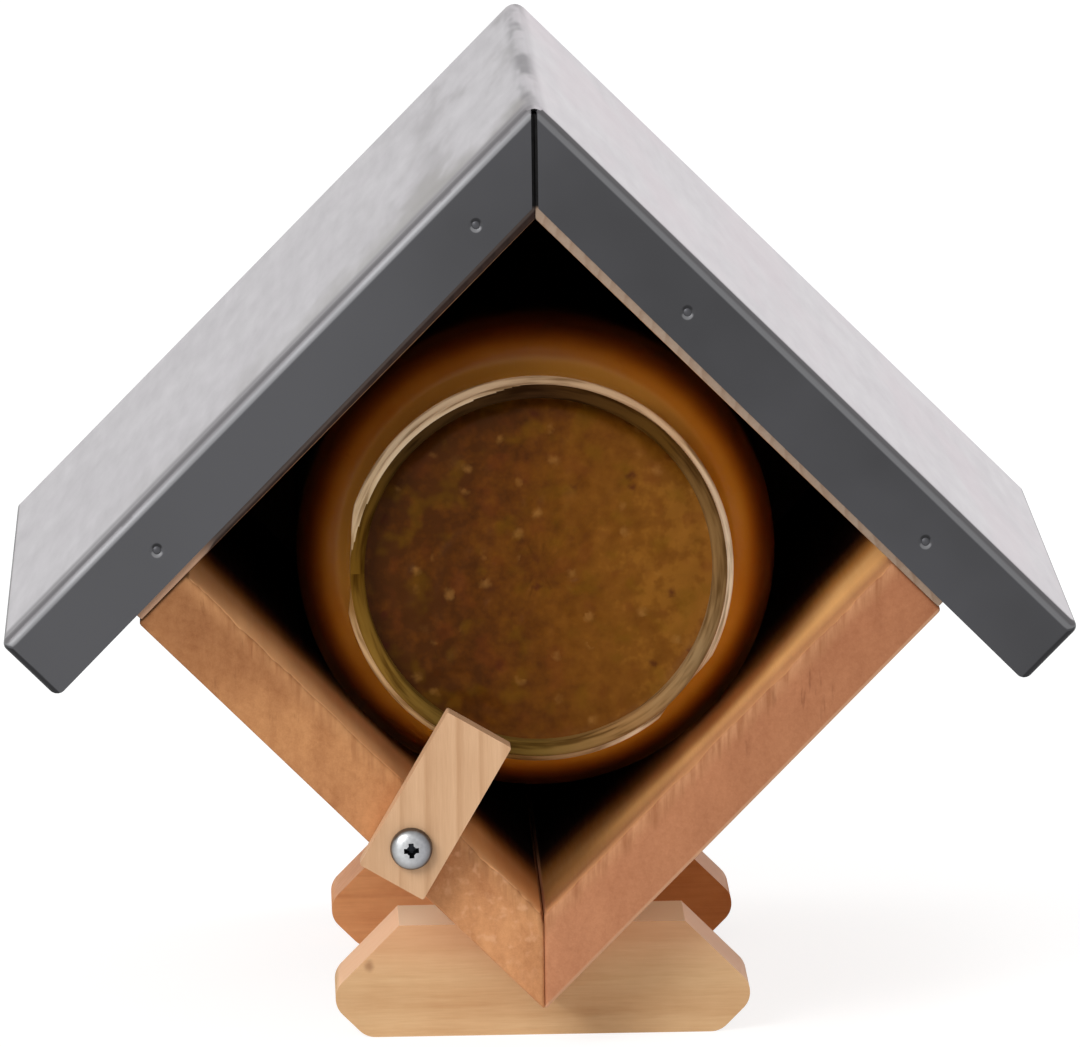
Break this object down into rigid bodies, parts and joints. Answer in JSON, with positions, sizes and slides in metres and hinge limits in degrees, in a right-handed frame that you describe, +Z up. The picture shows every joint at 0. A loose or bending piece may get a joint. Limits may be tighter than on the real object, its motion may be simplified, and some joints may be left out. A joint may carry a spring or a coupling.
{
  "type": "peanut butter bird feeder",
  "caption": "Square wooden house on one corner under a folded sheet-metal roof, holding a jar of peanut butter on its side behind a turn button.",
  "frame": {"origin": "middle of the feeder's box on the surface it stands on", "axes": "+X to the right seen from the jar's mouth, +Y to the back along the jar, +Z up"},
  "size_m": [0.1868, 0.1536, 0.1672],
  "materials": {
    "zinc_sheet": "matt weathered zinc sheet",
    "roof_wood": "bare planed red softwood",
    "cradle_wood": "bare planed red softwood, sawn ends",
    "back_wood": "bare planed red softwood",
    "foot_wood": "bare planed pale softwood",
    "rear_foot_wood": "bare planed red softwood",
    "button_wood": "bare planed pale softwood",
    "screw_steel": "bright zinc plated",
    "nail_steel": "dull steel",
    "jar_glass": "clear glass",
    "peanut_butter": "soft oily paste with ground nuts"
  },
  "bodies": {
    "house": {"roof_sheet": "zinc_sheet", "roof_board_left": "roof_wood", "roof_board_right": "roof_wood", "cradle_board_left": "cradle_wood", "cradle_board_right": "cradle_wood", "back_board": "back_wood", "front_foot": "foot_wood", "rear_foot": "rear_foot_wood", "button_screw": "screw_steel", "front_roof_pins": "nail_steel", "rear_roof_pins": "nail_steel", "ridge_brads": "nail_steel", "eave_brads_left": "nail_steel", "eave_brads_right": "nail_steel", "cradle_brads": "nail_steel", "back_board_brads": "nail_steel", "front_foot_brads": "nail_steel", "rear_foot_brads": "nail_steel"},
    "button": {"turn_button": "button_wood"},
    "jar": {"jar_glass": "jar_glass", "peanut_butter": "peanut_butter"}
  },
  "joints": [
    {"name": "button_turn", "type": "hinge", "parent": "house", "child": "button", "pos_m": [-0.02309, -0.0715, 0.03777], "axis": [0, 1, 0], "continuous": true},
    {"name": "jar_slide", "type": "slide", "parent": "house", "child": "jar", "axis": [0, -1, 0], "range_m": [0, 0.0055]}
  ]
}
